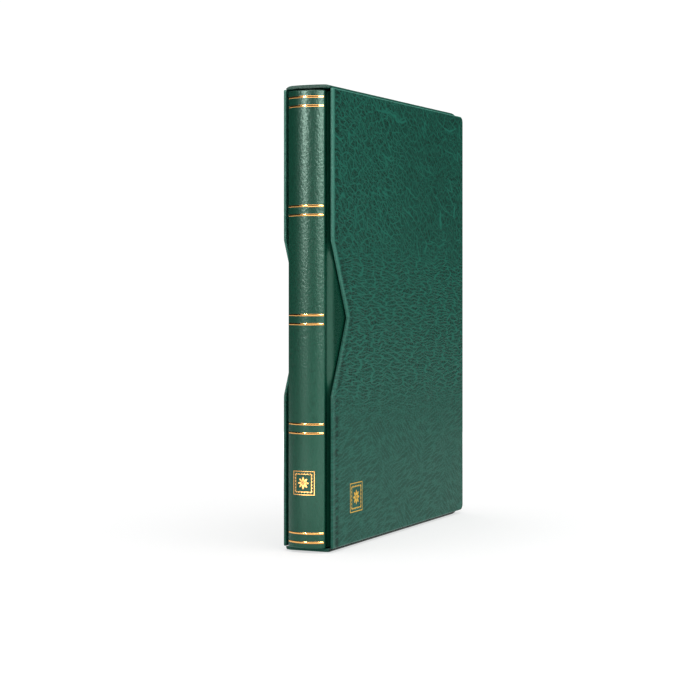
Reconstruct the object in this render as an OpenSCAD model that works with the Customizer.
// Stamp stockbook with padded leatherette covers, standing in its open-fronted slipcase.
// Millimetres. +Z is up, +X points to the side panel that carries the foil emblem, and the
// open front of the case and the album's spine face -Y. The origin is under the middle.

/* [Slipcase] */
// Width over the two side panels
case_width = 37; // [35:1:44]
// Depth of the side panels, from the open front to the back
case_depth = 240; // [220:1:260]
// Height from the surface it stands on to the top of the frame strip
case_height = 312; // [280:1:340]
// Thickness of the greyboard in each side panel
side_board_t = 1.4; // [1:0.1:1.6]
// Thickness of the greyboard strip that makes the top, back and bottom walls
frame_board_t = 1.7; // [1.2:0.1:2.2]
// Thickness of the leatherette on the side panels
side_cover_t = 0.5; // [0.4:0.1:0.7]
// Thickness of the leatherette on the frame strip
frame_cover_t = 0.6; // [0.4:0.1:0.7]
// Thickness of the lining paper
lining_t = 0.3; // [0.2:0.1:0.4]
// Height that the frame strip stands above and below the side panels
panel_step = 2.4; // [2.2:0.1:2.5]
// Distance that the frame's back wall is set in from the panels' back edges
back_inset = 1.5; // [1:0.1:3]
// Outer corner radius of the frame strip at the back
frame_corner_r = 15; // [8:1:20]
// Corner radius of the side panels at the back
panel_corner_r = 4.5; // [3:0.5:8]

/* [Finger notch] */
// Height of the V notch along the panels' front edge
notch_height = 103.8; // [60:0.2:140]
// Depth of the V notch, from the front edge to its point
notch_depth = 24.7; // [12:0.1:40]
// Height of the notch's point above the surface
notch_centre_z = 156; // [130:1:180]

/* [Album] */
// Gap between the album's covers and each side wall
side_gap = 0.6; // [0.4:0.1:1]
// Gap under the album
floor_gap = 0.3; // [0.3:0.1:0.6]
// Gap over the album
top_gap = 1.5; // [1:0.1:3]
// Gap behind the album's fore-edge, which clears the case's rounded corners
back_gap = 13.4; // [13:0.1:18]
// Distance that the spine's crown stands in front of the case
spine_proud = 7.5; // [6.5:0.1:9]
// Height of the spine's arc
spine_bulge = 5; // [3:0.1:5]
// Distance from the spine's edge to the cover's outer face, across the album
joint_step = 2.45; // [2:0.05:3]
// Thickness of the album's leatherette
wrap_t = 0.5; // [0.4:0.1:0.6]
// Thickness of the foam under the leatherette
padding_t = 2; // [1:0.1:2.2]
// Thickness of the cover boards
cover_board_t = 1.8; // [1.5:0.1:2]
// Thickness of the stiff card in the spine
spine_board_t = 1; // [0.8:0.1:1.4]

/* [Pages] */
// Number of leaves
leaf_count = 16; // [8:1:18]
// Height of a leaf
leaf_height = 297; // [260:1:297]
// Width of a leaf
leaf_width = 210; // [180:1:212]
// Thickness of a leaf's card
leaf_t = 0.5; // [0.3:0.1:0.5]
// Number of pocket strips on each page
strip_rows = 9; // [5:1:9]
// Thickness of the clear film of the pockets
film_t = 0.1; // [0.08:0.01:0.12]
// Thickness of the glassine interleaves
glassine_t = 0.05; // [0.04:0.01:0.08]

/* [Gilding] */
// Side of the square emblem on the slipcase
case_emblem_w = 20; // [14:1:24]
// Side of the square emblem on the spine
spine_emblem_w = 16; // [12:1:18]
// Height of one gold line
gold_line_h = 1.3; // [0.8:0.1:2]
// Distance between the two lines of a pair
gold_pair_gap = 6.05; // [4:0.05:9]
// Depth that the foil is pressed into the leatherette
foil_t = 0.1; // [0.08:0.01:0.15]

/* [Hidden] */
$fn = 96;
leaf_names = [for (i = [1:leaf_count]) str("leaf_", i < 10 ? "0" : "", i)];

leatherette = "#2f6150";
leatherette_dark = "#214d3e";
greyboard = "#8b8678";
lining_green = "#16382d";
gold = "#c9a24a";
card_black = "#17181a";
cream = "#e9e2cf";

// The front plane of the case is y = 0 inside the modules, and front_y in the part's frame.
front_y = spine_proud - (case_depth + spine_proud) / 2;
side_wall_t = side_cover_t + side_board_t + lining_t;
frame_wall_t = frame_cover_t + frame_board_t + lining_t;
side_out_x = case_width / 2;
side_in_x = side_out_x - side_wall_t;
frame_back_y = case_depth - back_inset;
case_in_y = frame_back_y - frame_wall_t;
lip_x = side_in_x + 1;
lip_r = 3;
lip_cover_over_board = 0.6;
side_edge_r = 2;
turn_in = 10;
frame_turn_in = 12;

album_x = side_in_x - side_gap;
album_z0 = frame_wall_t + floor_gap;
album_z1 = case_height - frame_wall_t - top_gap;
album_y1 = case_in_y - back_gap;
padding_x = album_x - wrap_t;
board_x = padding_x - padding_t;
board_in_x = board_x - cover_board_t;
endpaper_t = 0.3;
block_x = board_in_x - endpaper_t;
spine_x = album_x - joint_step;
spine_edge_y = spine_bulge - spine_proud;
spine_r = (spine_x * spine_x + spine_bulge * spine_bulge) / (2 * spine_bulge);
spine_centre_y = spine_r - spine_proud;
board_front_y = 4;
joint_lean = 0.5;
joint_y = 4.6;
joint_depth = 0.75;
shoulder = 0.3;
shoulder_y = 6.4;
flat_y = 8.6;
joint_overlap = 0.2;
album_edge_r = 1;

page_margin = 0.7;
leaf_pitch = 2 * (block_x - page_margin) / (leaf_count - 1);
leaf_z0 = (album_z0 + album_z1 - leaf_height) / 2 - 0.1;
leaf_y1 = album_y1 - 6.5;
leaf_y0 = leaf_y1 - leaf_width;
guard_y0 = -0.5;
guard_y1 = 16;
guard_t = 0.12;
mull_t = 0.5;
band_r = 0.9;
band_tape_t = 0.3;
band_tape_h = 12;
strip_margin = 4;
strip_y0 = 20;
strip_pitch = (leaf_height - 2 * strip_margin) / strip_rows;
strip_h = strip_pitch - 3;

case_emblem_y = 37.4;
case_emblem_z = 33.2;
spine_emblem_z = 46.2;
gold_top_z = case_height - 8.5;
gold_bottom_z = 12.7;
gold_pairs = 5;
gold_pair_pitch = (gold_top_z - gold_bottom_z) / (gold_pairs - 1);

function leaf_x(i) = -(block_x - page_margin) + (i - 1) * leaf_pitch;

// A YZ outline, given as 2-D x and y, made solid from x0 to x1.
module slab_x(x0, x1) {
    translate([x0, front_y, 0]) rotate([90, 0, 90]) linear_extrude(x1 - x0) children();
}

// An XZ outline made solid over the length of the case.
module slab_y() {
    far = case_depth + 20;
    translate([0, front_y + far - 10, 0]) rotate([90, 0, 0]) linear_extrude(far) children();
}

// An XY outline made solid from z0 to z1.
module slab_z(z0, z1) {
    translate([0, front_y, z0]) linear_extrude(z1 - z0) children();
}

// A box given by its lowest and highest corners.
module block(x0, x1, y0, y1, z0, z1) {
    translate([x0, front_y + y0, z0]) cube([x1 - x0, y1 - y0, z1 - z0]);
}

// A shape and its mirror image on the other side.
module both_sides() {
    children();
    mirror([1, 0, 0]) children();
}

// A rectangle with all its corners round.
module rounded(x0, x1, y0, y1, r) {
    translate([x0 + r, y0]) square([x1 - x0 - 2 * r, y1 - y0]);
    translate([x0, y0 + r]) square([x1 - x0, y1 - y0 - 2 * r]);
    for (x = [x0 + r, x1 - r]) {
        for (y = [y0 + r, y1 - r]) {
            translate([x, y]) circle(r);
        }
    }
}

// A YZ outline with square corners at the front and round corners at the back.
module back_rounded(y0, y1, z0, z1, r) {
    translate([y0, z0]) square([y1 - r - y0, z1 - z0]);
    translate([y0, z0 + r]) square([y1 - y0, z1 - z0 - 2 * r]);
    for (z = [z0 + r, z1 - r]) {
        translate([y1 - r, z]) circle(r);
    }
}

// Side view of the frame strip's outer face, moved inwards by inset.
module frame_outline(inset, y0 = 0) {
    back_rounded(y0, frame_back_y - inset, inset, case_height - inset, frame_corner_r - inset);
}

// Top, back and bottom walls between two insets.
module frame_walls(outer, inner, y0 = 0) {
    difference() {
        frame_outline(outer, y0);
        frame_outline(inner, y0 - 1);
    }
}

// Half the frame's width, with the long edges rounded, kept clear of the side panels.
module frame_section(half_w, inset, r) {
    difference() {
        intersection() {
            slab_x(-half_w, half_w) children();
            slab_y() rounded(-half_w, half_w, inset, case_height - inset, r);
        }
        both_sides() slab_x(side_in_x, side_out_x) panel_outline(0);
    }
}

module case_frame_board() {
    color(greyboard) frame_section(lip_x - lip_cover_over_board, frame_cover_t, lip_r - frame_cover_t)
        frame_walls(frame_cover_t, frame_wall_t - lining_t, frame_cover_t);
}

module case_frame_cover() {
    color(leatherette_dark) difference() {
        frame_section(lip_x, 0, lip_r) frame_walls(0, frame_wall_t);
        case_frame_board();
        case_frame_lining();
    }
}

module case_frame_lining() {
    color(lining_green) slab_x(-side_in_x, side_in_x)
        frame_walls(frame_wall_t - lining_t, frame_wall_t, frame_turn_in);
}

// The V notch with its edges moved into the panel by inset.
module notch(inset) {
    half = notch_height / 2;
    half_in = half + inset * sqrt(1 + pow(half / notch_depth, 2));
    depth_in = notch_depth + inset * sqrt(1 + pow(notch_depth / half, 2));
    mouth = half_in * (1 + 1 / depth_in);
    translate([0, notch_centre_z]) polygon([[-1, -mouth], [depth_in, 0], [-1, mouth]]);
}

// Side view of a side panel, moved inwards by inset, without its notch.
module panel_outline(inset) {
    z0 = panel_step + inset;
    z1 = case_height - panel_step - inset;
    back_rounded(inset, case_depth - inset, z0, z1, max(panel_corner_r - inset, 1));
}

// The right side panel from x0 outwards, with its outer edges rounded.
module panel_body(x0, inset) {
    out_x = side_out_x - inset;
    r = side_edge_r - inset;
    z0 = panel_step + inset;
    z1 = case_height - panel_step - inset;
    intersection() {
        slab_x(x0, out_x) difference() {
            panel_outline(inset);
            notch(inset);
        }
        slab_y() rounded(-out_x, out_x, z0, z1, r);
        slab_z(0, case_height) rounded(-out_x, out_x, inset, case_depth - inset, r);
    }
}

module side_board() {
    color(greyboard) panel_body(side_in_x + lining_t, side_cover_t);
}

module side_lining() {
    color(lining_green) slab_x(side_in_x, side_in_x + lining_t) difference() {
        panel_outline(turn_in);
        notch(turn_in);
    }
}

// Leatherette over the outer face, round the edges and turned in on the inner face.
module side_cover() {
    color(leatherette) difference() {
        panel_body(side_in_x, 0);
        side_board();
        side_lining();
    }
}

module case_side_board_left() { mirror([1, 0, 0]) side_board(); }
module case_side_board_right() { side_board(); }
module case_side_lining_left() { mirror([1, 0, 0]) side_lining(); }
module case_side_lining_right() { side_lining(); }
module case_side_cover_left() { mirror([1, 0, 0]) side_cover(); }

module case_side_cover_right() {
    difference() {
        side_cover();
        case_emblem();
    }
}

// A pointed petal, from the middle of the emblem outwards.
module petal(length) {
    r = length * 0.72;
    reach = length / 2;
    shift = sqrt(r * r - reach * reach);
    translate([0, reach + length * 0.22]) intersection() {
        translate([-shift, 0]) circle(r);
        translate([shift, 0]) circle(r);
    }
}

// A square line, a stamp's perforated edge inside it, and an eight-petalled rosette.
module emblem(w) {
    line = w * 0.028;
    stamp = w * 0.4;
    perforations = 6;
    pitch = 2 * stamp / perforations;
    petals = 8;
    difference() {
        square(w, center = true);
        square(w - 2 * line, center = true);
    }
    difference() {
        square(2 * stamp, center = true);
        square(2 * stamp - pitch, center = true);
        for (turn = [0:90:270]) {
            rotate(turn) for (i = [0:perforations]) {
                translate([(i - perforations / 2) * pitch, stamp]) circle(pitch * 0.28, $fn = 24);
            }
        }
    }
    for (turn = [0:petals - 1]) {
        rotate(turn * 360 / petals) petal(w * 0.21);
    }
    circle(w * 0.028);
}

module case_emblem() {
    color(gold) slab_x(side_out_x - foil_t, side_out_x)
        translate([case_emblem_y, case_emblem_z]) emblem(case_emblem_w);
}

// The cover's section inside the leatherette, up to the fore-edge at y1.
module cover_section(y1) {
    polygon([
        [board_in_x, board_front_y],
        [board_x, board_front_y],
        [board_x + joint_lean, joint_y],
        [padding_x - shoulder, shoulder_y],
        [padding_x, flat_y],
        [padding_x, y1],
        [board_in_x, y1]
    ]);
}

module cover_filling(x0, x1) {
    slab_z(album_z0 + wrap_t, album_z1 - wrap_t) intersection() {
        cover_section(album_y1 - wrap_t);
        translate([x0, 0]) square([x1 - x0, album_y1]);
    }
}

module front_board() { color(greyboard) cover_filling(board_in_x, board_x); }
module back_board() { mirror([1, 0, 0]) front_board(); }
module front_padding() { color(cream) cover_filling(board_x, padding_x); }
module back_padding() { mirror([1, 0, 0]) front_padding(); }

// The leatherette in the groove between the spine and a cover.
module joint_strip() {
    outer = [
        [spine_x, spine_edge_y],
        [spine_x + 0.05, -1.5],
        [spine_x - 0.35, -0.5],
        [spine_x - joint_depth, 1.2],
        [spine_x - joint_depth, 2.4],
        [board_x + joint_lean + wrap_t, joint_y],
        [album_x - shoulder, shoulder_y],
        [album_x, flat_y]
    ];
    inner = [for (i = [len(outer) - 1:-1:0]) outer[i] - [wrap_t, 0]];
    polygon(concat(outer, inner));
}

// The bowed sheet from radius r0 to r1 over the spine, out to half width w.
module spine_arc(r0, r1, w) {
    intersection() {
        translate([0, spine_centre_y]) difference() {
            circle(r1, $fn = 180);
            circle(r0, $fn = 180);
        }
        translate([-w, -spine_proud - 1]) square([2 * w, spine_bulge + 1 + joint_overlap]);
    }
}

// The leatherette of one cover, with its turned edges and its joint.
module cover_leather() {
    slab_z(album_z0, album_z1) {
        joint_strip();
        cover_section(album_y1);
        translate([padding_x, flat_y - joint_overlap]) {
            square([wrap_t, album_y1 - flat_y + joint_overlap]);
        }
    }
}

// One piece of leatherette: both covers' faces and turned edges, the joints and the spine.
module album_cover() {
    color(leatherette) difference() {
        intersection() {
            union() {
                slab_z(album_z0, album_z1) spine_arc(spine_r - wrap_t, spine_r, spine_x);
                both_sides() cover_leather();
            }
            slab_y() rounded(-album_x, album_x, album_z0, album_z1, album_edge_r);
        }
        both_sides() cover_filling(board_in_x, padding_x);
        spine_gold_lines();
        spine_emblem();
    }
}

module front_endpaper() {
    color(cream) block(block_x, board_in_x, 3, album_y1 - 3, album_z0 + 3, album_z1 - 3);
}

module back_endpaper() { mirror([1, 0, 0]) front_endpaper(); }

module spine_board() {
    color(greyboard) slab_z(album_z0 + wrap_t, album_z1 - wrap_t)
        spine_arc(spine_r - wrap_t - spine_board_t, spine_r - wrap_t, spine_x - 1.2);
}

module spine_lining() {
    color(cream) block(-block_x + 0.4, block_x - 0.4, guard_y0 - mull_t, guard_y0, leaf_z0 + 6,
        leaf_z0 + leaf_height - 6);
}

// A woven bead on the end of the block, on a tape that is glued down the back of it.
module headband() {
    z = leaf_z0 + leaf_height;
    half = block_x - 0.6;
    tape_y = guard_y0 - mull_t - band_tape_t;
    color("white") {
        translate([-half, front_y + guard_y0 - 0.1, z + band_r]) rotate([0, 90, 0]) {
            cylinder(r = band_r, h = 2 * half);
        }
        block(-half, half, tape_y, tape_y + band_tape_t, z - band_tape_h, z + band_r);
    }
}

module tailband() {
    translate([0, 0, 2 * leaf_z0 + leaf_height]) mirror([0, 0, 1]) headband();
}

// The two bright lines of each pair, all round the bow of the spine.
module spine_gold_lines() {
    color(gold) for (i = [0:gold_pairs - 1]) {
        for (z = [0, -gold_pair_gap]) {
            line_z = gold_bottom_z + i * gold_pair_pitch + z - gold_line_h / 2;
            slab_z(line_z, line_z + gold_line_h) spine_arc(spine_r - foil_t, spine_r, spine_x - 0.1);
        }
    }
}

module spine_emblem() {
    w = spine_emblem_w;
    color(gold) intersection() {
        slab_z(spine_emblem_z - w, spine_emblem_z + w) spine_arc(spine_r - foil_t, spine_r, w);
        translate([0, front_y, spine_emblem_z]) rotate([90, 0, 0]) linear_extrude(20) emblem(w);
    }
}

module leaf(i) {
    x = leaf_x(i);
    color(card_black) block(x - leaf_t / 2, x + leaf_t / 2, leaf_y0, leaf_y1, leaf_z0,
        leaf_z0 + leaf_height);
}

// Linen strips that hold the leaves at the back, one folded round each leaf.
module leaf_guards() {
    half = leaf_t / 2 + guard_t;
    color("ivory") for (i = [1:leaf_count]) {
        difference() {
            block(leaf_x(i) - half, leaf_x(i) + half, guard_y0, guard_y1, leaf_z0,
                leaf_z0 + leaf_height);
            block(leaf_x(i) - leaf_t / 2, leaf_x(i) + leaf_t / 2, leaf_y0, guard_y1 + 1,
                leaf_z0 - 1, leaf_z0 + leaf_height + 1);
        }
    }
}

// Clear film pockets, in rows on both pages of every leaf.
module pocket_strips() {
    color("white", 0.35) for (i = [1:leaf_count]) {
        for (x = [leaf_x(i) + leaf_t / 2, leaf_x(i) - leaf_t / 2 - film_t]) {
            for (row = [0:strip_rows - 1]) {
                z = leaf_z0 + strip_margin + row * strip_pitch;
                block(x, x + film_t, strip_y0, leaf_y1 - 2, z, z + strip_h);
            }
        }
    }
}

// One glassine sheet between each pair of facing pages.
module interleaves() {
    color("white", 0.5) for (i = [1:leaf_count - 1]) {
        x = leaf_x(i) + leaf_pitch / 2;
        block(x - glassine_t / 2, x + glassine_t / 2, guard_y0, leaf_y1 - 1, leaf_z0 + 1,
            leaf_z0 + leaf_height - 1);
    }
}

case_frame_board();
case_frame_cover();
case_frame_lining();
case_side_board_left();
case_side_board_right();
case_side_cover_left();
case_side_cover_right();
case_side_lining_left();
case_side_lining_right();
case_emblem();
front_board();
back_board();
front_padding();
back_padding();
front_endpaper();
back_endpaper();
spine_board();
spine_lining();
headband();
tailband();
album_cover();
spine_gold_lines();
spine_emblem();
leaf_guards();
pocket_strips();
interleaves();
for (i = [1:leaf_count]) {
    leaf(i);
}
